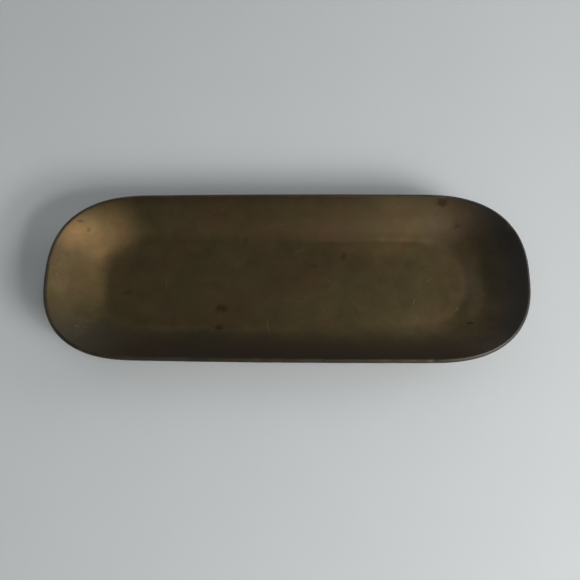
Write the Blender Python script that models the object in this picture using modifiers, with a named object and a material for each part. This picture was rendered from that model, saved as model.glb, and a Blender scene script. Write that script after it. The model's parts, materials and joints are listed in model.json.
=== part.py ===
"""A shallow brass trinket tray that stands on four felt pads.

The dish is one piece of formed brass. Its flat floor turns up into walls that sweep out to a plain cut rim.
The pads are stuck under the floor, so that the metal doesn't mark the furniture.

Units are metres and +Z is up. The origin is on the table, under the middle of the dish, and the tray's
length lies along X.
"""

import math

import bmesh
import bpy
from mathutils.geometry import interpolate_bezier

# Dish: the mouth is measured between the rim's inner edges, and the sheet's thickness lies outside it.
MOUTH_LENGTH = 0.2079
MOUTH_WIDTH = 0.0737
FLOOR_LENGTH = 0.158
FLOOR_WIDTH = 0.0386
WELL_DEPTH = 0.0135
SHEET_THICKNESS = 0.002
RIM_EDGE_EASE = 0.0006

# Plan shape: each end is a superellipse as deep as its cap, and the sides between the caps bow out a little.
MOUTH_CAP = 0.0425
FLOOR_CAP = 0.0255
CAP_EXPONENT = 2.56
MOUTH_SIDE_BOW = 0.0010
FLOOR_SIDE_BOW = 0.0004

# Wall profile: over the toe's share of its run the wall leaves the floor level, and over the lip's share it
# comes up to the rim, where its slope is the rim's steepness times the mean slope of the wall.
TOE_SHARE = 0.30
LIP_SHARE = 0.30
RIM_STEEPNESS = 1.60

# Felt pads, set out on a rectangle about the middle
PAD_DIAMETER = 0.012
PAD_THICKNESS = 0.0015
PAD_EDGE_EASE = 0.0002
PAD_SPACING_X = 0.120
PAD_SPACING_Y = 0.022
GLUE_LINE = 0.0003

# Fineness of the meshes
CAP_STEPS = 18
SIDE_STEPS = 6
WALL_RINGS = 10
PAD_SIDES = 40
EASE_SEGMENTS = 2
SHARP_ANGLE = math.radians(50)

# Colours are linear RGB
AGED_BRASS = (0.165, 0.113, 0.058)
BROWN_FELT = (0.060, 0.043, 0.032)


def clear_scene():
    for obj in list(bpy.data.objects):
        bpy.data.objects.remove(obj, do_unlink=True)


def make_material(name, colour, roughness, metallic):
    material = bpy.data.materials.new(name)
    material.use_nodes = True
    shader = material.node_tree.nodes["Principled BSDF"]
    shader.inputs["Base Color"].default_value = (*colour, 1.0)
    shader.inputs["Roughness"].default_value = roughness
    shader.inputs["Metallic"].default_value = metallic
    return material


def make_object(name, bm, material, collection):
    """A smooth-shaded object of the finished bmesh."""
    mesh = bpy.data.meshes.new(name)
    bm.to_mesh(mesh)
    bm.free()
    mesh.materials.append(material)
    mesh.shade_smooth()
    mesh.set_sharp_from_angle(angle=SHARP_ANGLE)
    obj = bpy.data.objects.new(name, mesh)
    collection.objects.link(obj)
    return obj


def ease_edges(obj, width):
    """Rounds the object's square edges."""
    bevel = obj.modifiers.new("eased_edges", "BEVEL")
    bevel.width = width
    bevel.segments = EASE_SEGMENTS
    bevel.limit_method = "ANGLE"
    bevel.angle_limit = SHARP_ANGLE


def quarter_outline(half_length, half_width, cap, bow):
    """Points of the plan shape from the end at +X to just short of the middle of the side at +Y."""
    points = []
    for step in range(CAP_STEPS):
        angle = math.pi / 2 * step / CAP_STEPS
        across, along = math.sin(angle), math.cos(angle)
        reach = (across**CAP_EXPONENT + along**CAP_EXPONENT) ** (-1 / CAP_EXPONENT)
        points.append((half_length - cap + cap * reach * along, half_width * reach * across))
    for step in range(SIDE_STEPS):
        points.append(((half_length - cap) * (1 - step / SIDE_STEPS), half_width))
    return [(x, y + bow * (1 - (x / half_length) ** 2) * y / half_width) for x, y in points]


def outline(length, width, cap, bow):
    """The whole plan shape, anticlockwise from +X, as a list of (x, y)."""
    quarter = quarter_outline(length / 2, width / 2 - bow, cap, bow)
    half = quarter + [(0.0, width / 2)] + [(-x, y) for x, y in reversed(quarter)]
    return half + [(x, -y) for x, y in reversed(half[1:-1])]


def wall_profile():
    """For each ring of the wall, its share of the way from floor to mouth, and its height above the floor."""
    floor = (0.0, 0.0, 0.0)
    toe = (TOE_SHARE, 0.0, 0.0)
    lip = (1 - LIP_SHARE, WELL_DEPTH * (1 - LIP_SHARE * RIM_STEEPNESS), 0.0)
    rim = (1.0, WELL_DEPTH, 0.0)
    return [(point.x, point.y) for point in interpolate_bezier(floor, toe, lip, rim, WALL_RINGS + 1)]


def loft_inside():
    """The inside of the dish as an open surface: the floor, and the wall lofted from its edge to the mouth."""
    floor = outline(FLOOR_LENGTH, FLOOR_WIDTH, FLOOR_CAP, FLOOR_SIDE_BOW)
    mouth = outline(MOUTH_LENGTH, MOUTH_WIDTH, MOUTH_CAP, MOUTH_SIDE_BOW)
    bm = bmesh.new()
    rings = []
    for share, height in wall_profile():
        ring = []
        for (floor_x, floor_y), (mouth_x, mouth_y) in zip(floor, mouth):
            x = floor_x + share * (mouth_x - floor_x)
            y = floor_y + share * (mouth_y - floor_y)
            ring.append(bm.verts.new((x, y, height)))
        rings.append(ring)
    bm.faces.new(rings[0])
    for lower, upper in zip(rings, rings[1:]):
        for i in range(len(lower)):
            bm.faces.new((lower[i], lower[i - 1], upper[i - 1], upper[i]))
    return bm


def make_dish(material, collection):
    """The inside surface, thickened outwards to the sheet and eased along both edges of the rim."""
    dish = make_object("tray_dish", loft_inside(), material, collection)
    dish.location.z = PAD_THICKNESS + GLUE_LINE + SHEET_THICKNESS
    sheet = dish.modifiers.new("sheet", "SOLIDIFY")
    sheet.thickness = SHEET_THICKNESS
    sheet.offset = -1
    sheet.use_even_offset = True
    sheet.use_quality_normals = True
    ease_edges(dish, RIM_EDGE_EASE)


def make_pad(name, x, y, material, collection):
    """One felt disc, lying on the table at (x, y)."""
    bm = bmesh.new()
    bmesh.ops.create_cone(
        bm,
        cap_ends=True,
        segments=PAD_SIDES,
        radius1=PAD_DIAMETER / 2,
        radius2=PAD_DIAMETER / 2,
        depth=PAD_THICKNESS,
    )
    pad = make_object(name, bm, material, collection)
    pad.location = (x, y, PAD_THICKNESS / 2)
    ease_edges(pad, PAD_EDGE_EASE)


def main():
    clear_scene()
    collection = bpy.data.collections.new("trinket_tray")
    bpy.context.scene.collection.children.link(collection)
    brass = make_material("aged_brass", AGED_BRASS, roughness=0.42, metallic=1.0)
    felt = make_material("brown_felt", BROWN_FELT, roughness=0.95, metallic=0.0)
    make_dish(brass, collection)
    for row, y in (("front", -PAD_SPACING_Y / 2), ("rear", PAD_SPACING_Y / 2)):
        for side, x in (("left", -PAD_SPACING_X / 2), ("right", PAD_SPACING_X / 2)):
            make_pad(f"felt_pad_{row}_{side}", x, y, felt, collection)


main()
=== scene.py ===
"""The finish of a brass trinket tray on felt pads, around its packed construction model, on a pale table."""

import json
import math

import bmesh
import bpy
import numpy as np
from mathutils import Matrix, Vector


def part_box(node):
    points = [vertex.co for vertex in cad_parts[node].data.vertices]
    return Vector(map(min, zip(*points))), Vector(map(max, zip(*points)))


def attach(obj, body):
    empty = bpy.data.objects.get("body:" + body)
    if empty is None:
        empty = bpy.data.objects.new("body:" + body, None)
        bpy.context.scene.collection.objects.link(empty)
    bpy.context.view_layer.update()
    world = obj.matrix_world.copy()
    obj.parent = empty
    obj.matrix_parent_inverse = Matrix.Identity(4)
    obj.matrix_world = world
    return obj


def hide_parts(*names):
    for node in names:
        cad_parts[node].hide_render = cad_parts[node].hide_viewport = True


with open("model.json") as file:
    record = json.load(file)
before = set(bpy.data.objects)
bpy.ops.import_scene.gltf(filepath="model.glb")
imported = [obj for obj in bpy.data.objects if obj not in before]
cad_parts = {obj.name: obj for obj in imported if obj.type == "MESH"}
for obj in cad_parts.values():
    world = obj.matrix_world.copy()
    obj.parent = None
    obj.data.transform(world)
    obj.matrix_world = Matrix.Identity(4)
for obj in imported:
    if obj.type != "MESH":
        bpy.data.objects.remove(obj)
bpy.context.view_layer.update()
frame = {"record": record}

# Tray dish
# One piece of brass sheet, pressed over a former: a flat floor, and walls that flare out to the mouth. The
# edge is cut square to the sheet and only eased. Age has turned the metal brown and olive, and handling keeps
# it satin.
mounts = {mount["name"]: mount for mount in frame["record"]["mounts"]}
FLOOR_TOP = mounts["well_floor"]["pos_m"][2]
MOUTH_LENGTH = 0.2079
MOUTH_WIDTH = 0.0737
FLOOR_LENGTH = 0.158
FLOOR_WIDTH = 0.0386
WELL_DEPTH = 0.0135
SHEET_THICKNESS = 0.002
RIM_EDGE_EASE = 0.0006
MOUTH_CAP = 0.0425
FLOOR_CAP = 0.0255
CAP_EXPONENT = 2.56
MOUTH_SIDE_BOW = 0.0010
FLOOR_SIDE_BOW = 0.0004
TOE_SHARE = 0.30
LIP_SHARE = 0.30
RIM_STEEPNESS = 1.60
CAP_STEPS = 110
SIDE_STEPS = 70
SECTION_STEPS = 40
RINGS = 48
SEAM_DISTANCE = 1e-6
PRESSING_WAVE = 0.0002
WAVES_PER_METRE = 30.0


def node(tree, kind, inputs=None, **settings):
    """Adds a node with its settings, and fills its inputs with values or with other nodes' sockets."""
    made = tree.nodes.new(kind)
    for name, value in settings.items():
        setattr(made, name, value)
    for name, value in (inputs or {}).items():
        if isinstance(value, bpy.types.NodeSocket):
            tree.links.new(value, made.inputs[name])
        else:
            made.inputs[name].default_value = value
    return made


def math_node(tree, operation, *values):
    """The output of a Math node on values or sockets."""
    return node(tree, "ShaderNodeMath", dict(enumerate(values)), operation=operation).outputs[0]


def vector_math(tree, operation, *values, result="Vector"):
    """An output of a Vector Math node on vectors or sockets."""
    return node(tree, "ShaderNodeVectorMath", dict(enumerate(values)), operation=operation).outputs[result]


def scaled(tree, vector, factor):
    """The vector, or colour, times a factor."""
    made = node(tree, "ShaderNodeVectorMath", {0: vector, "Scale": factor}, operation="SCALE")
    return made.outputs["Vector"]


def node_group(name, kind, inputs, outputs):
    """A new node tree with named sockets, and what its input node gives."""
    tree = bpy.data.node_groups.new(name, kind)
    for socket_name, socket in inputs.items():
        tree.interface.new_socket(socket_name, in_out="INPUT", socket_type="NodeSocket" + socket)
    for socket_name, socket in outputs.items():
        tree.interface.new_socket(socket_name, in_out="OUTPUT", socket_type="NodeSocket" + socket)
    return tree, node(tree, "NodeGroupInput").outputs


def outline(length, width, cap, bow):
    """Points of the plan shape at height 0, anticlockwise from the end at +X."""
    angle = np.linspace(0, np.pi / 2, CAP_STEPS, endpoint=False)
    reach = (np.sin(angle) ** CAP_EXPONENT + np.cos(angle) ** CAP_EXPONENT) ** (-1 / CAP_EXPONENT)
    half_width = width / 2 - bow
    side = np.linspace(length / 2 - cap, 0, SIDE_STEPS + 1)
    x = np.concatenate([length / 2 - cap + cap * reach * np.cos(angle), side])
    y = np.concatenate([half_width * reach * np.sin(angle), np.full(len(side), half_width)])
    y = y + bow * (1 - (2 * x / length) ** 2) * y / half_width
    half_x = np.concatenate([x, -x[-2::-1]])
    half_y = np.concatenate([y, y[-2::-1]])
    whole_x = np.concatenate([half_x, half_x[-2:0:-1]])
    whole_y = np.concatenate([half_y, -half_y[-2:0:-1]])
    return [(px, py, 0.0) for px, py in zip(whole_x.tolist(), whole_y.tolist())]


def link_new(name, data):
    """A new object of the data, in the scene."""
    obj = bpy.data.objects.new(name, data)
    bpy.context.scene.collection.objects.link(obj)
    return obj


def outline_guide(name, *sizes):
    """An object whose points are the plan shape's."""
    mesh = bpy.data.meshes.new(name)
    mesh.from_pydata(outline(*sizes), [], [])
    return link_new(name, mesh)


def section_guide(name):
    """The wall's section: X runs from -1 in the middle, past 0 at the floor's edge, to 1 at the mouth."""
    curve = bpy.data.curves.new(name, "CURVE")
    curve.dimensions = "3D"
    curve.resolution_u = SECTION_STEPS
    spline = curve.splines.new("BEZIER")
    spline.bezier_points.add(2)
    lip_height = WELL_DEPTH * (1 - LIP_SHARE * RIM_STEEPNESS)
    middle, edge, rim = spline.bezier_points
    middle.co, middle.handle_left, middle.handle_right = (-1, 0, 0), (-1.1, 0, 0), (-0.9, 0, 0)
    edge.co, edge.handle_left, edge.handle_right = (0, 0, 0), (-0.1, 0, 0), (TOE_SHARE, 0, 0)
    rim.co, rim.handle_left = (1, 0, WELL_DEPTH), (1 - LIP_SHARE, 0, lip_height)
    rim.handle_right = (1.1, 0, WELL_DEPTH)
    return link_new(name, curve)


def plain_mesh(obj):
    """Replaces the object's mesh by its evaluated one and takes its modifiers off."""
    evaluated = obj.evaluated_get(bpy.context.evaluated_depsgraph_get())
    mesh = bpy.data.meshes.new_from_object(evaluated)
    obj.modifiers.clear()
    obj.data = mesh
    mesh.name = obj.name
    return mesh


def grow(obj, tree, values):
    """Makes the object's mesh with a Geometry Nodes tree, and drops the empty first slot that it leaves."""
    modifier = obj.modifiers.new(tree.name, "NODES")
    modifier.node_group = tree
    for item in tree.interface.items_tree:
        if item.item_type == "SOCKET" and item.in_out == "INPUT":
            modifier[item.identifier] = values[item.name]
    plain_mesh(obj).materials.pop(index=0)


# The loft makes the inner face. Its rings of points run out from the middle to the floor's outline, and from
# there up the wall's section to the mouth's. Each point keeps its share of the way up for the finish.
loft, given = node_group(
    "dish_loft",
    "GeometryNodeTree",
    {
        "Floor Outline": "Object",
        "Mouth Outline": "Object",
        "Wall Section": "Object",
        "Around": "Int",
        "Rings": "Int",
        "Floor Height": "Float",
        "Pressing Wave": "Float",
        "Waves per Metre": "Float",
        "Finish": "Material",
    },
    {"Dish": "Geometry"},
)
columns = math_node(loft, "ADD", given["Around"], 1)
grid = node(loft, "GeometryNodeMeshGrid", {"Vertices X": columns, "Vertices Y": given["Rings"]})
index = node(loft, "GeometryNodeInputIndex").outputs[0]
columns_passed = math_node(loft, "DIVIDE", math_node(loft, "ADD", index, 0.5), given["Rings"])
column = math_node(loft, "FLOOR", columns_passed)
ring = math_node(loft, "SUBTRACT", index, math_node(loft, "MULTIPLY", column, given["Rings"]))
corner = math_node(loft, "MODULO", column, given["Around"])
along = math_node(loft, "DIVIDE", ring, math_node(loft, "SUBTRACT", given["Rings"], 1))


def outline_point(guide_socket):
    """The guide's point at this vertex's corner."""
    shape = node(loft, "GeometryNodeObjectInfo", {"Object": guide_socket}).outputs["Geometry"]
    place = node(loft, "GeometryNodeInputPosition").outputs[0]
    wanted = {"Geometry": shape, "Value": place, "Index": corner}
    return node(loft, "GeometryNodeSampleIndex", wanted, data_type="FLOAT_VECTOR").outputs["Value"]


floor_point = outline_point(given["Floor Outline"])
mouth_point = outline_point(given["Mouth Outline"])
section = node(loft, "GeometryNodeObjectInfo", {"Object": given["Wall Section"]}).outputs["Geometry"]
sample = node(loft, "GeometryNodeSampleCurve", {"Curves": section, "Factor": along}, mode="FACTOR")
out_and_up = node(loft, "ShaderNodeSeparateXYZ", {0: sample.outputs["Position"]}).outputs
across_floor = math_node(loft, "ADD", math_node(loft, "MINIMUM", out_and_up["X"], 0), 1)
up_wall = math_node(loft, "MAXIMUM", out_and_up["X"], 0)
on_floor = scaled(loft, floor_point, across_floor)
on_wall = scaled(loft, vector_math(loft, "SUBTRACT", mouth_point, floor_point), up_wall)
height = math_node(loft, "ADD", out_and_up["Z"], given["Floor Height"])
lift = node(loft, "ShaderNodeCombineXYZ", {"Z": height}).outputs[0]
place = vector_math(loft, "ADD", vector_math(loft, "ADD", on_floor, on_wall), lift)
shaped = node(loft, "GeometryNodeSetPosition", {"Geometry": grid.outputs["Mesh"], "Position": place})
shares = {"Geometry": shaped.outputs[0], "Name": "wall_share", "Value": out_and_up["X"]}
shared = node(loft, "GeometryNodeStoreNamedAttribute", shares, data_type="FLOAT", domain="POINT")
upward = node(loft, "GeometryNodeFlipFaces", {"Mesh": shared.outputs[0]})
closed = node(loft, "GeometryNodeMergeByDistance", {"Geometry": upward.outputs[0], "Distance": SEAM_DISTANCE})
wave = node(loft, "ShaderNodeTexNoise", {"Scale": given["Waves per Metre"], "Detail": 1.5}).outputs[0]
swing = math_node(loft, "MULTIPLY", math_node(loft, "SUBTRACT", wave, 0.5), given["Pressing Wave"])
push = scaled(loft, node(loft, "GeometryNodeInputNormal").outputs[0], swing)
waved = node(loft, "GeometryNodeSetPosition", {"Geometry": closed.outputs[0], "Offset": push})
smooth = node(loft, "GeometryNodeSetShadeSmooth", {"Geometry": waved.outputs[0]})
real = node(loft, "GeometryNodeRealizeInstances", {"Geometry": smooth.outputs[0]})
finished = node(loft, "GeometryNodeSetMaterial", {"Geometry": real.outputs[0], "Material": given["Finish"]})
node(loft, "NodeGroupOutput", {0: finished.outputs[0]})


def spread(tree, value, low, high, to_low=0.0, to_high=1.0):
    """Spreads low to high smoothly over to_low to to_high, and holds the ends beyond them."""
    limits = {"Value": value, "From Min": low, "From Max": high, "To Min": to_low, "To Max": to_high}
    return node(tree, "ShaderNodeMapRange", limits, interpolation_type="SMOOTHSTEP").outputs["Result"]


def cloud(tree, position, per_metre, detail, distortion=0.0):
    """Cloudy values from 0 to 1, in about that many masses to a metre."""
    wanted = {"Vector": position, "Scale": per_metre, "Detail": detail, "Distortion": distortion}
    return node(tree, "ShaderNodeTexNoise", wanted).outputs[0]


def blend(tree, factor, first, second):
    """The second colour over the first."""
    return node(tree, "ShaderNodeMix", {0: factor, 6: first, 7: second}, data_type="RGBA").outputs[2]


# Patina, for every face of the dish: brown and olive drift into each other over the width of a thumb, with
# darker masses the size of a pea and a grain like sand. Lighter and worn places are smoother.
DRIFTS_PER_METRE = 55
MASSES_PER_METRE = 140
GRAINS_PER_METRE = 1300
GRAIN_SHARE = 0.35
SATIN_ROUGHNESS = 0.42
LIGHT_POLISH = 0.16
WORN_POLISH = 0.10
patina, given = node_group(
    "brass_patina",
    "ShaderNodeTree",
    {
        "Position": "Vector",
        "Brown": "Color",
        "Olive": "Color",
        "Worn": "Color",
        "Wear": "Float",
        "Mottle": "Float",
    },
    {"Colour": "Color", "Roughness": "Float", "Height": "Float"},
)
drifts = cloud(patina, given["Position"], DRIFTS_PER_METRE, detail=4, distortion=0.5)
drift = spread(patina, drifts, low=0.36, high=0.64)
masses = cloud(patina, given["Position"], MASSES_PER_METRE, detail=4, distortion=0.3)
mass = math_node(patina, "SUBTRACT", masses, 0.5)
grains = cloud(patina, given["Position"], GRAINS_PER_METRE, detail=3)
grain = math_node(patina, "SUBTRACT", grains, 0.5)
both = math_node(patina, "MULTIPLY_ADD", grain, GRAIN_SHARE, mass)
shade = math_node(patina, "MULTIPLY_ADD", both, given["Mottle"], 1.0)
aged = scaled(patina, blend(patina, drift, given["Brown"], given["Olive"]), shade)
satin = math_node(patina, "MULTIPLY_ADD", both, -LIGHT_POLISH, SATIN_ROUGHNESS)
node(
    patina,
    "NodeGroupOutput",
    {
        "Colour": blend(patina, given["Wear"], aged, given["Worn"]),
        "Roughness": math_node(patina, "MULTIPLY_ADD", given["Wear"], -WORN_POLISH, satin),
        "Height": both,
    },
)

# Hairlines, for every face of the dish: long fine scratches that lie one way and come and go.
HAIRLINE_STRETCH = 45
HAIRLINE_EDGE = 0.022
HAIRLINE_CORE = 0.004
HAIRLINE_PATCHES_PER_METRE = 75
HAIRLINE_FADE = 0.12
hairlines, given = node_group(
    "hairlines",
    "ShaderNodeTree",
    {"Position": "Vector", "Turn": "Float", "Lines per Metre": "Float", "Share": "Float"},
    {"Mask": "Float"},
)
turned = node(
    hairlines,
    "ShaderNodeVectorRotate",
    {"Vector": given["Position"], "Angle": given["Turn"]},
    rotation_type="Z_AXIS",
)
lengthwise = math_node(hairlines, "DIVIDE", given["Lines per Metre"], HAIRLINE_STRETCH)
stretch = {"X": lengthwise, "Y": given["Lines per Metre"], "Z": given["Lines per Metre"]}
drawn = node(hairlines, "ShaderNodeCombineXYZ", stretch).outputs[0]
along_lines = vector_math(hairlines, "MULTIPLY", turned.outputs[0], drawn)
strand = cloud(hairlines, along_lines, per_metre=1.0, detail=1.0)
off_line = math_node(hairlines, "ABSOLUTE", math_node(hairlines, "SUBTRACT", strand, 0.5))
line = spread(hairlines, off_line, HAIRLINE_EDGE, HAIRLINE_CORE)
gap = math_node(hairlines, "SUBTRACT", 1.0, given["Share"])
full = math_node(hairlines, "ADD", gap, HAIRLINE_FADE)
patches = cloud(hairlines, given["Position"], HAIRLINE_PATCHES_PER_METRE, detail=2)
present = spread(hairlines, patches, gap, full)
node(hairlines, "NodeGroupOutput", {"Mask": math_node(hairlines, "MULTIPLY", line, present)})

# Specks, for every face of the dish: scattered round spots, of which only a share shows.
SPECK_CORE = 0.3
specks, given = node_group(
    "specks",
    "ShaderNodeTree",
    {"Position": "Vector", "Specks per Metre": "Float", "Size": "Float", "Share": "Float"},
    {"Mask": "Float"},
)
cells = node(
    specks,
    "ShaderNodeTexVoronoi",
    {"Vector": given["Position"], "Scale": given["Specks per Metre"]},
)
rank = node(specks, "ShaderNodeSeparateXYZ", {0: cells.outputs["Color"]}).outputs["X"]
chosen = math_node(specks, "LESS_THAN", rank, given["Share"])
core = math_node(specks, "MULTIPLY", given["Size"], SPECK_CORE)
spot = spread(specks, cells.outputs["Distance"], given["Size"], core)
node(specks, "NodeGroupOutput", {"Mask": math_node(specks, "MULTIPLY", spot, chosen)})

# Every face also has three sets of hairlines, each its turn in radians and its lines per metre, under a thin
# coat of old wax.
SCRATCHED_BRASS = (0.26, 0.19, 0.11, 1.0)
TARNISH = (0.042, 0.025, 0.008, 1.0)
HAIRLINE_SETS = ((0.15, 420.0), (-0.5, 520.0), (1.2, 620.0))
HAIRLINE_WEIGHT = 0.16
HAIRLINE_DEPTH = 0.5
SKIN_BUMP = 0.25
SKIN_DEPTH = 0.00006
WAX_WEIGHT = 0.30
WAX_ROUGHNESS = 0.50


def aged_brass(name, brown, olive, worn, mottle, hairline_share, wear_of, marks_of):
    """A brass finish: wear_of masks where the worn colour shows, and marks_of adds the face's own marks."""
    material = bpy.data.materials.new(name)
    material.use_nodes = True
    tree = material.node_tree
    position = node(tree, "ShaderNodeTexCoord").outputs["Object"]
    skin = node(
        tree,
        "ShaderNodeGroup",
        {
            "Position": position,
            "Brown": brown,
            "Olive": olive,
            "Worn": worn,
            "Wear": wear_of(tree, position),
            "Mottle": mottle,
        },
        node_tree=patina,
    )
    colour, roughness = marks_of(tree, position, skin.outputs["Colour"], skin.outputs["Roughness"])
    height = skin.outputs["Height"]
    for turn, lines in HAIRLINE_SETS:
        laid = {"Position": position, "Turn": turn, "Lines per Metre": lines, "Share": hairline_share}
        scratch = node(tree, "ShaderNodeGroup", laid, node_tree=hairlines).outputs["Mask"]
        colour = blend(tree, math_node(tree, "MULTIPLY", scratch, HAIRLINE_WEIGHT), colour, SCRATCHED_BRASS)
        height = math_node(tree, "MULTIPLY_ADD", scratch, -HAIRLINE_DEPTH, height)
    bump = node(tree, "ShaderNodeBump", {"Strength": SKIN_BUMP, "Distance": SKIN_DEPTH, "Height": height})
    shader = tree.nodes["Principled BSDF"]
    shader.inputs["Metallic"].default_value = 1.0
    shader.inputs["Coat Weight"].default_value = WAX_WEIGHT
    shader.inputs["Coat Roughness"].default_value = WAX_ROUGHNESS
    tree.links.new(colour, shader.inputs["Base Color"])
    tree.links.new(roughness, shader.inputs["Roughness"])
    tree.links.new(bump.outputs[0], shader.inputs["Normal"])
    return material


def patch(tree, position, middle, reach, solid):
    """A mask of an ellipse seen from above: 1 inside its solid part, falling to 0 at its reach."""
    away = vector_math(tree, "SUBTRACT", position, (*middle, 0.0))
    share = vector_math(tree, "MULTIPLY", away, (1 / reach[0], 1 / reach[1], 0.0))
    return spread(tree, vector_math(tree, "LENGTH", share, result="Value"), 1.0, solid)


def scratch_mask(tree, position, start, end, width):
    """A mask of one straight scratch seen from above, from its start to its end."""
    run = Vector((*end, 0.0)) - Vector((*start, 0.0))
    ahead = run.normalized()
    away = vector_math(tree, "SUBTRACT", position, (*start, 0.0))
    far = vector_math(tree, "DOT_PRODUCT", away, ahead, result="Value")
    aside = vector_math(tree, "DOT_PRODUCT", away, (-ahead.y, ahead.x, 0.0), result="Value")
    from_middle = math_node(tree, "ABSOLUTE", math_node(tree, "SUBTRACT", far, run.length / 2))
    ends = spread(tree, from_middle, run.length / 2, run.length / 5)
    line = spread(tree, math_node(tree, "ABSOLUTE", aside), width, width / 4)
    return math_node(tree, "MULTIPLY", ends, line)


# Inside of the dish: drops and damp have left tarnish, keys have scratched it, and the lip is darker.
# Each stain is its middle, its reach along and across, and its strength.
STAINS = (
    ((-0.0281, -0.0119), (0.0044, 0.0031), 0.85),
    ((-0.0285, -0.0207), (0.0027, 0.0016), 0.85),
    ((0.0267, 0.0129), (0.0019, 0.0029), 0.70),
    ((0.0130, 0.0080), (0.0025, 0.0013), 0.50),
    ((0.0700, 0.0342), (0.0032, 0.0023), 1.00),
    ((0.0777, 0.0256), (0.0024, 0.0014), 0.55),
    ((-0.0714, -0.0046), (0.0030, 0.0015), 0.45),
    ((-0.0928, 0.0256), (0.0012, 0.0009), 0.65),
    ((-0.0184, 0.0204), (0.0014, 0.0022), 0.40),
    ((0.0808, -0.0184), (0.0016, 0.0012), 0.60),
    ((-0.0895, 0.0229), (0.0008, 0.0007), 0.60),
    ((0.0629, 0.0080), (0.0008, 0.0007), 0.50),
)
# Each scratch is its start and its end.
SCRATCHES = (
    ((0.0568, -0.0106), (0.0582, -0.0070)),
    ((-0.0078, -0.0165), (-0.0060, -0.0240)),
    ((-0.0025, 0.0271), (0.0002, 0.0273)),
    ((-0.0498, -0.0232), (-0.0478, -0.0214)),
    ((-0.0313, 0.0094), (-0.0301, 0.0105)),
    ((0.0748, -0.0128), (0.0778, -0.0108)),
    ((0.0760, -0.0100), (0.0773, -0.0131)),
    ((0.0634, 0.0008), (0.0658, 0.0022)),
    ((-0.0541, 0.0032), (-0.0539, -0.0022)),
    ((-0.0907, -0.0218), (-0.0885, -0.0225)),
    ((-0.0872, -0.0227), (-0.0857, -0.0218)),
)
SCRATCH_WIDTH = 0.0003
SCRATCH_WEIGHT = 0.50
# Painted highlights and painted shade: some zones are painted brighter, others darker. Each zone is its
# middle, its reach along and across, and the factors on the red, green and blue of its colour.
LIGHT_AND_SHADE_ZONES = (
    ((-0.0770, 0.0240), (0.0145, 0.0185), (2.05, 1.88, 1.78)),
    ((-0.0860, 0.0040), (0.0150, 0.0270), (1.30, 1.21, 1.13)),
    ((-0.0960, 0.0240), (0.0150, 0.0160), (0.79, 0.66, 0.53)),
    ((0.0835, 0.0000), (0.0070, 0.0250), (1.45, 1.60, 2.05)),
    ((0.0725, 0.0260), (0.0160, 0.0120), (1.42, 1.46, 1.85)),
    ((0.0480, 0.0168), (0.0300, 0.0068), (1.36, 1.28, 1.20)),
    ((0.0640, -0.0195), (0.0330, 0.0100), (1.30, 1.30, 1.42)),
    ((0.0450, -0.0285), (0.0620, 0.0110), (1.32, 1.32, 1.35)),
    ((0.0000, 0.0265), (0.0520, 0.0110), (1.00, 0.90, 0.86)),
    ((-0.0370, -0.0240), (0.0420, 0.0070), (0.80, 0.85, 0.85)),
    ((-0.0840, -0.0250), (0.0290, 0.0165), (0.60, 0.63, 0.68)),
    ((0.0070, 0.0085), (0.0320, 0.0180), (0.85, 0.83, 0.80)),
    ((0.0900, 0.0000), (0.0080, 0.0200), (0.78, 0.95, 1.08)),
    ((0.0500, 0.0365), (0.0220, 0.0055), (1.38, 1.50, 1.45)),
)
# A painted grey sheen, a reflection, lies on the front wall, and painted grey shade on the right end. Each
# film starts at one place along Y or X and is full at the other.
FRONT_PAINTED_SHEEN = (0.138, 0.117, 0.104, 1.0)
FRONT_SHEEN_STARTS = -0.012
FRONT_SHEEN_FULL = -0.036
FRONT_SHEEN_WEIGHT = 0.50
RIGHT_PAINTED_SHADE = (0.083, 0.075, 0.067, 1.0)
RIGHT_SHADE_STARTS = 0.074
RIGHT_SHADE_FULL = 0.100
RIGHT_SHADE_WEIGHT = 0.95
# The lip and the upper wall's painted shade, as shares of the way up, and ragged edges of stains and zones.
LIP_STARTS = 0.955
LIP_FULL = 0.985
UPPER_WALL_STARTS = 0.78
UPPER_WALL_SHADE = 0.72
RAGS_PER_METRE = 420.0
RAG_REACH = 0.0036
STAIN_CORE = 0.3
STAIN_ROUGHENS = 0.15
SPECK_WEIGHT = 0.35


def lip_wear(tree, position):
    """A mask of the lip, broken here and there."""
    share = node(tree, "ShaderNodeAttribute", attribute_name="wall_share").outputs["Fac"]
    lip = spread(tree, share, LIP_STARTS, LIP_FULL)
    breaks = cloud(tree, position, per_metre=180, detail=3)
    broken = spread(tree, breaks, low=0.30, high=0.60, to_low=0.6, to_high=1.0)
    return math_node(tree, "MULTIPLY", lip, broken)


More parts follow.
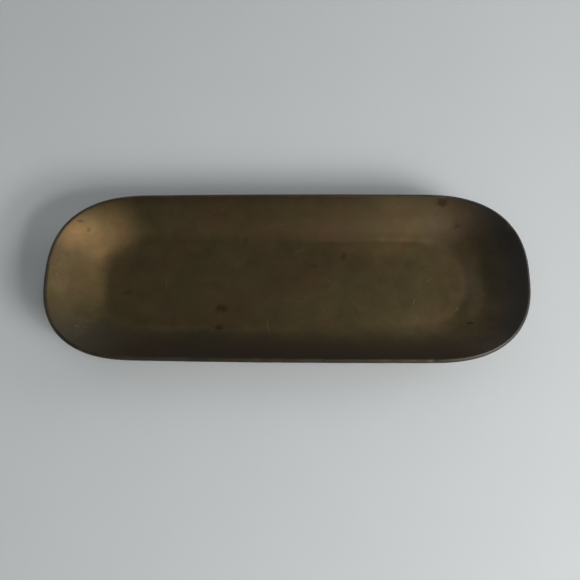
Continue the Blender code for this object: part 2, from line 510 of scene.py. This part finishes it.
def inside_marks(tree, position, colour, roughness):
    """Adds painted light and shade in zones, films and the upper wall, then stains, specks and scratches."""
    rags = {"Vector": position, "Scale": RAGS_PER_METRE, "Detail": 3.0}
    ragged = node(tree, "ShaderNodeTexNoise", rags).outputs[1]
    shift = scaled(tree, vector_math(tree, "SUBTRACT", ragged, (0.5, 0.5, 0.5)), RAG_REACH)
    torn = vector_math(tree, "ADD", position, shift)
    # Painted highlights and painted shade, zone by zone.
    painted_light = (1.0, 1.0, 1.0)
    for middle, reach, tint in LIGHT_AND_SHADE_ZONES:
        gain = tuple(part - 1 for part in tint)
        zone = patch(tree, torn, middle, reach, solid=0.0)
        painted_light = vector_math(tree, "MULTIPLY_ADD", zone, gain, painted_light)
    colour = vector_math(tree, "MULTIPLY", colour, painted_light)
    share = node(tree, "ShaderNodeAttribute", attribute_name="wall_share").outputs["Fac"]
    # Painted shade: the upper wall darkens towards the lip.
    shade = spread(tree, share, UPPER_WALL_STARTS, 1.0, to_low=1.0, to_high=UPPER_WALL_SHADE)
    colour = scaled(tree, colour, shade)
    place = node(tree, "ShaderNodeSeparateXYZ", {0: position}).outputs
    # Painted reflection: a grey sheen on the front wall.
    front = spread(tree, place["Y"], FRONT_SHEEN_STARTS, FRONT_SHEEN_FULL, 0.0, FRONT_SHEEN_WEIGHT)
    front = math_node(tree, "MULTIPLY", front, spread(tree, share, low=0.0, high=0.6))
    colour = blend(tree, front, colour, FRONT_PAINTED_SHEEN)
    # Painted shade with a grey cast on the right end wall.
    right = spread(tree, place["X"], RIGHT_SHADE_STARTS, RIGHT_SHADE_FULL, 0.0, RIGHT_SHADE_WEIGHT)
    right = math_node(tree, "MULTIPLY", right, spread(tree, share, low=0.25, high=0.95))
    colour = blend(tree, right, colour, RIGHT_PAINTED_SHADE)
    for middle, reach, strength in STAINS:
        stain = math_node(tree, "MULTIPLY", patch(tree, torn, middle, reach, STAIN_CORE), strength)
        colour = blend(tree, stain, colour, TARNISH)
        roughness = math_node(tree, "MULTIPLY_ADD", stain, STAIN_ROUGHENS, roughness)
    dark = {"Position": position, "Specks per Metre": 110.0, "Size": 0.075, "Share": 0.55}
    dots = node(tree, "ShaderNodeGroup", dark, node_tree=specks).outputs["Mask"]
    colour = blend(tree, math_node(tree, "MULTIPLY", dots, SPECK_WEIGHT), colour, TARNISH)
    pale = {"Position": position, "Specks per Metre": 150.0, "Size": 0.06, "Share": 0.60}
    chips = node(tree, "ShaderNodeGroup", pale, node_tree=specks).outputs["Mask"]
    colour = blend(tree, math_node(tree, "MULTIPLY", chips, SPECK_WEIGHT), colour, SCRATCHED_BRASS)
    for start, end in SCRATCHES:
        mark = scratch_mask(tree, position, start, end, SCRATCH_WIDTH)
        colour = blend(tree, math_node(tree, "MULTIPLY", mark, SCRATCH_WEIGHT), colour, SCRATCHED_BRASS)
    return colour, roughness


inside_brass = aged_brass(
    "aged_brass_inside",
    brown=(0.127, 0.0812, 0.0345, 1.0),
    olive=(0.115, 0.0850, 0.0322, 1.0),
    worn=(0.060, 0.049, 0.034, 1.0),
    mottle=0.90,
    hairline_share=0.42,
    wear_of=lip_wear,
    marks_of=inside_marks,
)


# Outside of the dish: seldom rubbed, so it is darker and duller, with more tarnish.
OUTSIDE_SPECK_WEIGHT = 0.6
TARNISH_ROUGHENS = 0.18


def outside_wear(tree, position):
    """A mask of the few rubbed places."""
    rubs = cloud(tree, position, per_metre=60, detail=4)
    return spread(tree, rubs, low=0.62, high=0.85, to_high=0.35)


def outside_marks(tree, position, colour, roughness):
    """Adds clouds and specks of tarnish."""
    clouds = cloud(tree, position, per_metre=45, detail=4, distortion=0.8)
    tarnished = spread(tree, clouds, low=0.48, high=0.70, to_high=0.55)
    dark = {"Position": position, "Specks per Metre": 160.0, "Size": 0.10, "Share": 0.35}
    dots = node(tree, "ShaderNodeGroup", dark, node_tree=specks).outputs["Mask"]
    dotted = math_node(tree, "MULTIPLY", dots, OUTSIDE_SPECK_WEIGHT)
    stained = math_node(tree, "MAXIMUM", tarnished, dotted)
    roughness = math_node(tree, "MULTIPLY_ADD", stained, TARNISH_ROUGHENS, roughness)
    return blend(tree, stained, colour, TARNISH), roughness


outside_brass = aged_brass(
    "aged_brass_outside",
    brown=(0.100, 0.063, 0.030, 1.0),
    olive=(0.088, 0.064, 0.030, 1.0),
    worn=(0.30, 0.215, 0.125, 1.0),
    mottle=0.55,
    hairline_share=0.36,
    wear_of=outside_wear,
    marks_of=outside_marks,
)


# Rim of the dish: the cut edge has gone dark, with painted grey shade at its right end, and is rubbed paler
# here and there.
RIM_PAINTED_SHADE = (0.036, 0.033, 0.029, 1.0)
RIM_SHADE_STARTS = 0.055
RIM_SHADE_FULL = 0.090
RIM_SHADE_WEIGHT = 0.85
RIM_ROUGHENS = 0.10
RIM_SPECK_WEIGHT = 0.7


def rim_wear(tree, position):
    """A mask of the rubbed stretches."""
    rubs = cloud(tree, position, per_metre=110, detail=4)
    return spread(tree, rubs, low=0.42, high=0.72, to_high=0.55)


def rim_marks(tree, position, colour, roughness):
    """Adds painted grey shade at the right end, and dark specks."""
    place = node(tree, "ShaderNodeSeparateXYZ", {0: position}).outputs
    # Painted shade: the right end of the rim is greyed and darkened.
    film = spread(tree, place["X"], RIM_SHADE_STARTS, RIM_SHADE_FULL, 0.0, RIM_SHADE_WEIGHT)
    colour = blend(tree, film, colour, RIM_PAINTED_SHADE)
    dark = {"Position": position, "Specks per Metre": 420.0, "Size": 0.28, "Share": 0.35}
    dots = node(tree, "ShaderNodeGroup", dark, node_tree=specks).outputs["Mask"]
    colour = blend(tree, math_node(tree, "MULTIPLY", dots, RIM_SPECK_WEIGHT), colour, TARNISH)
    return colour, math_node(tree, "ADD", roughness, RIM_ROUGHENS)


rim_brass = aged_brass(
    "aged_brass_rim",
    brown=(0.070, 0.053, 0.031, 1.0),
    olive=(0.057, 0.046, 0.029, 1.0),
    worn=(0.112, 0.093, 0.069, 1.0),
    mottle=0.60,
    hairline_share=0.40,
    wear_of=rim_wear,
    marks_of=rim_marks,
)

floor_guide = outline_guide("floor_outline", FLOOR_LENGTH, FLOOR_WIDTH, FLOOR_CAP, FLOOR_SIDE_BOW)
mouth_guide = outline_guide("mouth_outline", MOUTH_LENGTH, MOUTH_WIDTH, MOUTH_CAP, MOUTH_SIDE_BOW)
wall_guide = section_guide("wall_section")
dish = link_new("tray_dish_aged", bpy.data.meshes.new("tray_dish_aged"))
grow(
    dish,
    loft,
    {
        "Floor Outline": floor_guide,
        "Mouth Outline": mouth_guide,
        "Wall Section": wall_guide,
        "Around": len(floor_guide.data.vertices),
        "Rings": RINGS,
        "Floor Height": FLOOR_TOP,
        "Pressing Wave": PRESSING_WAVE,
        "Waves per Metre": WAVES_PER_METRE,
        "Finish": inside_brass,
    },
)
for guide in (floor_guide, mouth_guide, wall_guide):
    bpy.data.objects.remove(guide, do_unlink=True)
for material in (outside_brass, rim_brass):
    dish.data.materials.append(material)
sheet = dish.modifiers.new("sheet", "SOLIDIFY")
sheet.thickness = SHEET_THICKNESS
sheet.offset = -1
sheet.use_even_offset = True
sheet.use_quality_normals = True
sheet.material_offset = 1
sheet.material_offset_rim = 2
ease = dish.modifiers.new("eased_rim", "BEVEL")
ease.width = RIM_EDGE_EASE
ease.segments = 4
ease.limit_method = "ANGLE"
ease.angle_limit = math.radians(50)
ease.material = 2
plain_mesh(dish)

# Knocks have left a few shallow nicks in the rim: each is its place, its length and its depth.
NICKS = (
    ((-0.0087, -0.0378), 0.0040, 0.00022),
    ((0.0560, -0.0374), 0.0030, 0.00018),
    ((0.0625, -0.0367), 0.0045, 0.00028),
    ((0.0990, 0.0220), 0.0060, 0.00035),
    ((-0.0960, -0.0260), 0.0040, 0.00020),
)
NICK_FOOT = 0.0018
points = np.empty(len(dish.data.vertices) * 3)
dish.data.vertices.foreach_get("co", points)
points = points.reshape(-1, 3)
rim_top = points[:, 2].max()
raised = np.clip((points[:, 2] - rim_top + NICK_FOOT) / NICK_FOOT, 0, 1)
for (nick_x, nick_y), nick_length, nick_depth in NICKS:
    away = np.hypot(points[:, 0] - nick_x, points[:, 1] - nick_y)
    points[:, 2] -= nick_depth * raised * np.clip(1 - (2 * away / nick_length) ** 2, 0, 1) ** 2
dish.data.vertices.foreach_set("co", points.ravel())
dish.data.update()
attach(dish, "root")
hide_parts("tray_dish")

# Felt pads
# Four discs punched from pressed brown wool felt, each stuck under the floor with a film of adhesive. They
# keep the metal off the furniture. The punched edge is soft, and loose fibres stand out of it.
PAD_RADIUS = 0.006
PAD_THICKNESS = 0.0015
PAD_SIDES = 64
EDGE_DRAW_IN = 0.05
EDGE_SHARPNESS = 4
FILM_THICKNESS = 0.00024
FILM_MARGIN = 0.0002
FELT_LUMPS = 0.00012
LUMPS_PER_METRE = 700.0
FIBRES_PER_SQUARE_METRE = 4.0e6
FIBRE_LENGTH = 0.0007
FIBRE_RADIUS = 0.000016
LEAST_LEAN = (0.9, -0.3, 0.0)
MOST_LEAN = (1.5, 0.3, math.tau)
DARK_WOOL = (0.038, 0.025, 0.016, 1.0)
PALE_WOOL = (0.105, 0.072, 0.048, 1.0)
THIN_ADHESIVE = (0.36, 0.30, 0.19, 1.0)
THICK_ADHESIVE = (0.50, 0.44, 0.31, 1.0)

# One pad: a disc with a soft edge, the fibres that stand out of it but are pressed flat at its two faces, and
# the film on top.
pad_tree, given = node_group(
    "felt_pad",
    "GeometryNodeTree",
    {
        "Middle": "Vector",
        "Radius": "Float",
        "Thickness": "Float",
        "Film Thickness": "Float",
        "Film Margin": "Float",
        "Lumps": "Float",
        "Fibres per Square Metre": "Float",
        "Fibre Length": "Float",
        "Fibre Radius": "Float",
        "Seed": "Int",
        "Felt": "Material",
        "Adhesive": "Material",
    },
    {"Pad": "Geometry"},
)
disc = node(
    pad_tree,
    "GeometryNodeMeshCylinder",
    {
        "Vertices": PAD_SIDES,
        "Side Segments": 6,
        "Fill Segments": 10,
        "Radius": given["Radius"],
        "Depth": given["Thickness"],
    },
    fill_type="TRIANGLE_FAN",
)
here = node(pad_tree, "GeometryNodeInputPosition").outputs[0]
level = node(pad_tree, "ShaderNodeSeparateXYZ", {0: here}).outputs["Z"]
half = math_node(pad_tree, "DIVIDE", given["Thickness"], 2)
off_middle = math_node(pad_tree, "ABSOLUTE", math_node(pad_tree, "DIVIDE", level, half))
to_edge = math_node(pad_tree, "POWER", off_middle, EDGE_SHARPNESS)
draw_in = math_node(pad_tree, "MULTIPLY_ADD", to_edge, -EDGE_DRAW_IN, 1.0)
drawn_in = node(pad_tree, "ShaderNodeCombineXYZ", {"X": draw_in, "Y": draw_in, "Z": 1.0}).outputs[0]
rounded = vector_math(pad_tree, "MULTIPLY", here, drawn_in)
own_place = vector_math(pad_tree, "ADD", here, given["Middle"])
lump_noise = {"Vector": own_place, "Scale": LUMPS_PER_METRE, "Detail": 3.0}
lumpy = node(pad_tree, "ShaderNodeTexNoise", lump_noise).outputs[1]
lump = scaled(pad_tree, vector_math(pad_tree, "SUBTRACT", lumpy, (0.5, 0.5, 0.5)), given["Lumps"])
lumped = vector_math(pad_tree, "ADD", rounded, scaled(pad_tree, lump, 2.0))
body = node(pad_tree, "GeometryNodeSetPosition", {"Geometry": disc.outputs["Mesh"], "Position": lumped})
soft = node(pad_tree, "GeometryNodeSetShadeSmooth", {"Geometry": body.outputs[0]})
roots = node(
    pad_tree,
    "GeometryNodeDistributePointsOnFaces",
    {"Mesh": body.outputs[0], "Density": given["Fibres per Square Metre"], "Seed": given["Seed"]},
)
fibre = node(
    pad_tree,
    "GeometryNodeMeshCone",
    {
        "Vertices": 3,
        "Radius Top": 0.0,
        "Radius Bottom": given["Fibre Radius"],
        "Depth": given["Fibre Length"],
    },
)
lean = node(
    pad_tree,
    "FunctionNodeRandomValue",
    {0: LEAST_LEAN, 1: MOST_LEAN, "Seed": given["Seed"]},
    data_type="FLOAT_VECTOR",
).outputs[0]
leaning = node(pad_tree, "FunctionNodeEulerToRotation", {0: lean}).outputs[0]
laid = node(
    pad_tree,
    "FunctionNodeRotateRotation",
    {"Rotation": roots.outputs["Rotation"], "Rotate By": leaning},
    rotation_space="LOCAL",
).outputs[0]
hairs = node(
    pad_tree,
    "GeometryNodeInstanceOnPoints",
    {"Points": roots.outputs["Points"], "Instance": fibre.outputs["Mesh"], "Rotation": laid},
)
woolly = node(pad_tree, "GeometryNodeJoinGeometry")
pad_tree.links.new(soft.outputs[0], woolly.inputs[0])
pad_tree.links.new(hairs.outputs[0], woolly.inputs[0])
wool = node(pad_tree, "GeometryNodeRealizeInstances", {"Geometry": woolly.outputs[0]})
wool_place = node(pad_tree, "GeometryNodeInputPosition").outputs[0]
spot_here = node(pad_tree, "ShaderNodeSeparateXYZ", {0: wool_place}).outputs
lowest = math_node(pad_tree, "MULTIPLY", half, -1)
kept_between = node(
    pad_tree,
    "ShaderNodeClamp",
    {"Value": spot_here["Z"], "Min": lowest, "Max": half},
).outputs[0]
pressed_place = {"X": spot_here["X"], "Y": spot_here["Y"], "Z": kept_between}
pressed = node(
    pad_tree,
    "GeometryNodeSetPosition",
    {
        "Geometry": wool.outputs[0],
        "Position": node(pad_tree, "ShaderNodeCombineXYZ", pressed_place).outputs[0],
    },
)
film = node(
    pad_tree,
    "GeometryNodeMeshCylinder",
    {
        "Vertices": PAD_SIDES,
        "Radius": math_node(pad_tree, "SUBTRACT", given["Radius"], given["Film Margin"]),
        "Depth": given["Film Thickness"],
    },
)
film_level = math_node(pad_tree, "ADD", half, math_node(pad_tree, "DIVIDE", given["Film Thickness"], 2))
film_lift = node(pad_tree, "ShaderNodeCombineXYZ", {"Z": film_level}).outputs[0]
raised_film = node(
    pad_tree,
    "GeometryNodeTransform",
    {"Geometry": film.outputs["Mesh"], "Translation": film_lift},
)
marked_film = node(
    pad_tree,
    "GeometryNodeStoreNamedAttribute",
    {"Geometry": raised_film.outputs[0], "Name": "film", "Value": 1.0},
    data_type="FLOAT",
    domain="FACE",
)
whole = node(pad_tree, "GeometryNodeJoinGeometry")
pad_tree.links.new(marked_film.outputs[0], whole.inputs[0])
pad_tree.links.new(pressed.outputs[0], whole.inputs[0])
placed = node(
    pad_tree,
    "GeometryNodeTransform",
    {"Geometry": whole.outputs[0], "Translation": given["Middle"]},
)
solid = node(pad_tree, "GeometryNodeRealizeInstances", {"Geometry": placed.outputs[0]})
is_film = node(pad_tree, "GeometryNodeInputNamedAttribute", {"Name": "film"}, data_type="FLOAT").outputs[0]
felted = node(pad_tree, "GeometryNodeSetMaterial", {"Geometry": solid.outputs[0], "Material": given["Felt"]})
stuck = node(
    pad_tree,
    "GeometryNodeSetMaterial",
    {
        "Geometry": felted.outputs[0],
        "Selection": math_node(pad_tree, "GREATER_THAN", is_film, 0.5),
        "Material": given["Adhesive"],
    },
)
node(pad_tree, "NodeGroupOutput", {0: stuck.outputs[0]})

wool_felt = bpy.data.materials.new("brown_wool_felt")
wool_felt.use_nodes = True
tree = wool_felt.node_tree
position = node(tree, "ShaderNodeTexCoord").outputs["Object"]
heather = cloud(tree, position, per_metre=3200, detail=3)
tuft = cloud(tree, position, per_metre=700, detail=3)
mixed = spread(tree, heather, low=0.35, high=0.65)
rough = spread(tree, tuft, low=0.3, high=0.7, to_low=0.88, to_high=1.0)
colour = blend(tree, mixed, DARK_WOOL, PALE_WOOL)
height = math_node(tree, "ADD", heather, tuft)
bump = node(tree, "ShaderNodeBump", {"Strength": 0.6, "Distance": 0.0002, "Height": height})
shader = tree.nodes["Principled BSDF"]
shader.inputs["Sheen Weight"].default_value = 0.25
shader.inputs["Sheen Tint"].default_value = (0.55, 0.42, 0.32, 1.0)
tree.links.new(colour, shader.inputs["Base Color"])
tree.links.new(rough, shader.inputs["Roughness"])
tree.links.new(bump.outputs[0], shader.inputs["Normal"])

adhesive = bpy.data.materials.new("adhesive_film")
adhesive.use_nodes = True
tree = adhesive.node_tree
position = node(tree, "ShaderNodeTexCoord").outputs["Object"]
cloudy = cloud(tree, position, per_metre=500, detail=3)
rough = spread(tree, cloudy, low=0.3, high=0.7, to_low=0.25, to_high=0.45)
colour = blend(tree, cloudy, THIN_ADHESIVE, THICK_ADHESIVE)
shader = tree.nodes["Principled BSDF"]
tree.links.new(colour, shader.inputs["Base Color"])
tree.links.new(rough, shader.inputs["Roughness"])

for seed, corner_name in enumerate(("front_left", "front_right", "rear_left", "rear_right")):
    low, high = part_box(f"felt_pad_{corner_name}")
    pad = link_new(f"{corner_name}_pad", bpy.data.meshes.new(f"{corner_name}_pad"))
    grow(
        pad,
        pad_tree,
        {
            "Middle": (low + high) / 2,
            "Radius": PAD_RADIUS,
            "Thickness": PAD_THICKNESS,
            "Film Thickness": FILM_THICKNESS,
            "Film Margin": FILM_MARGIN,
            "Lumps": FELT_LUMPS,
            "Fibres per Square Metre": FIBRES_PER_SQUARE_METRE,
            "Fibre Length": FIBRE_LENGTH,
            "Fibre Radius": FIBRE_RADIUS,
            "Seed": seed,
            "Felt": wool_felt,
            "Adhesive": adhesive,
        },
    )
    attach(pad, "root")
    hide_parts(f"felt_pad_{corner_name}")

# Table
# A plain pale round table top with a matt painted face. The tray stands free on it, and it is no part of the
# tray.
TABLE_RADIUS = 0.4
TABLE_SIDES = 160
THIN_PAINT = (0.620, 0.645, 0.645, 1.0)
THICK_PAINT = (0.645, 0.670, 0.670, 1.0)
bm = bmesh.new()
bmesh.ops.create_circle(bm, cap_ends=True, segments=TABLE_SIDES, radius=TABLE_RADIUS)
table_mesh = bpy.data.meshes.new("table_top")
bm.to_mesh(table_mesh)
bm.free()
table = link_new("table_top", table_mesh)
table_paint = bpy.data.materials.new("table_paint")
table_paint.use_nodes = True
tree = table_paint.node_tree
position = node(tree, "ShaderNodeTexCoord").outputs["Object"]
brushed = cloud(tree, position, per_metre=30, detail=4)
colour = blend(tree, brushed, THIN_PAINT, THICK_PAINT)
shader = tree.nodes["Principled BSDF"]
shader.inputs["Roughness"].default_value = 0.7
tree.links.new(colour, shader.inputs["Base Color"])
table_mesh.materials.append(table_paint)

# Light
# Four flat soft boxes at the front right stand in for a wide window, with a larger one far off to the right
# and a small one overhead. The pale room gives the rest as soft glows: each is its bearing, its height and
# its reach in degrees, and its strength.
GLOWS = (
    (30, 66, 30, 0.23),
    (45, 72, 16, 0.24),
    (-150, 66, 30, 0.11),
    (40, 42, 30, 0.26),
    (80, 42, 30, 0.17),
    (120, 42, 30, 0.29),
    (160, 42, 30, 0.20),
    (-120, 42, 30, 0.17),
    (-80, 42, 30, 0.16),
    (-100, 15, 26, 0.12),
    (60, 15, 26, 0.78),
    (100, 4, 18, 0.60),
)
GLOW_CORE = 0.2
ROOM_STRENGTH = 0.01
ROOM_COLOUR = (0.97, 1.0, 1.01, 1.0)
# The camera sees the pale backdrop all round. Shiny faces see it low down, where it fades out between two
# heights in degrees.
BACKDROP_STRENGTH = 0.62
BACKDROP_FULL = 2
BACKDROP_TOP = 10


def towards(azimuth, elevation):
    """The direction of a bearing and a height in degrees."""
    bearing = math.radians(azimuth)
    rise = math.radians(elevation)
    return Vector((math.cos(rise) * math.cos(bearing), math.cos(rise) * math.sin(bearing), math.sin(rise)))


world = bpy.data.worlds.new("studio")
bpy.context.scene.world = world
world.use_nodes = True
tree = world.node_tree
direction = node(tree, "ShaderNodeTexCoord").outputs["Generated"]
room = ROOM_STRENGTH
for azimuth, elevation, reach, strength in GLOWS:
    nearness = vector_math(tree, "DOT_PRODUCT", direction, towards(azimuth, elevation), result="Value")
    edge = math.cos(math.radians(reach))
    middle = math.cos(math.radians(reach * GLOW_CORE))
    glow = spread(tree, nearness, edge, middle, 0.0, strength)
    room = math_node(tree, "ADD", glow, room)
rays = node(tree, "ShaderNodeLightPath").outputs
shiny = math_node(tree, "MAXIMUM", rays["Is Glossy Ray"], rays["Is Transmission Ray"])
climb = node(tree, "ShaderNodeSeparateXYZ", {0: direction}).outputs["Z"]
backdrop_top = math.sin(math.radians(BACKDROP_TOP))
backdrop_full = math.sin(math.radians(BACKDROP_FULL))
low_down = math_node(tree, "MULTIPLY", shiny, spread(tree, climb, backdrop_top, backdrop_full))
seen = math_node(tree, "MAXIMUM", rays["Is Camera Ray"], low_down)
shown = node(tree, "ShaderNodeMix", {0: seen, 2: room, 3: BACKDROP_STRENGTH}).outputs[0]
background = tree.nodes["Background"]
background.inputs["Color"].default_value = ROOM_COLOUR
tree.links.new(shown, background.inputs["Strength"])


def soft_box(name, azimuth, elevation, distance, width, height, power):
    """A soft box that faces the tray, from a bearing and a height in degrees."""
    lamp = bpy.data.lights.new(name, "AREA")
    lamp.shape = "RECTANGLE"
    lamp.size = width
    lamp.size_y = height
    lamp.energy = power
    obj = link_new(name, lamp)
    outward = towards(azimuth, elevation)
    obj.location = outward * distance
    obj.rotation_euler = (-outward).to_track_quat("-Z", "Y").to_euler()
    obj.visible_camera = False


soft_box("window_light", azimuth=-34, elevation=33, distance=1.2, width=0.63, height=0.10, power=4.3)
soft_box("upper_window_light", azimuth=-34, elevation=37, distance=1.2, width=0.10, height=0.10, power=1.3)
soft_box("lower_window_light", azimuth=-34, elevation=24, distance=0.95, width=0.97, height=0.13, power=2.5)
soft_box("middle_window_light", azimuth=-34, elevation=24, distance=0.95, width=0.33, height=0.13, power=3.3)
soft_box("right_light", azimuth=19, elevation=19, distance=2.0, width=0.70, height=0.55, power=6.9)
soft_box("top_light", azimuth=-20, elevation=68, distance=1.5, width=0.25, height=0.25, power=1.35)

# Camera
# It looks down on the tray from the front, a little right of the middle, and is held not quite level. The
# sensor and the lens are measured in millimetres.
CAMERA_PLACE = Vector((0.0136, -0.0790, 0.2629))
CAMERA_BACK = Vector((0.0410, -0.2807, 0.9589))
CAMERA_ROLL = math.radians(0.91)
SENSOR_WIDTH = 36.0
FOCAL_LENGTH = 37.24
NEAREST_SEEN = 0.01
camera_data = bpy.data.cameras.new("camera")
camera_data.sensor_width = SENSOR_WIDTH
camera_data.lens = FOCAL_LENGTH
camera_data.clip_start = NEAREST_SEEN
camera = link_new("camera", camera_data)
right = Vector((0, 1, 0)).cross(CAMERA_BACK).normalized()
up = CAMERA_BACK.cross(right)
turned_right = right * math.cos(CAMERA_ROLL) + up * math.sin(CAMERA_ROLL)
turned_up = up * math.cos(CAMERA_ROLL) - right * math.sin(CAMERA_ROLL)
axes = Matrix((turned_right, turned_up, CAMERA_BACK)).transposed().to_4x4()
camera.matrix_world = Matrix.Translation(CAMERA_PLACE) @ axes
bpy.context.scene.camera = camera
bpy.context.scene.view_settings.view_transform = "Standard"
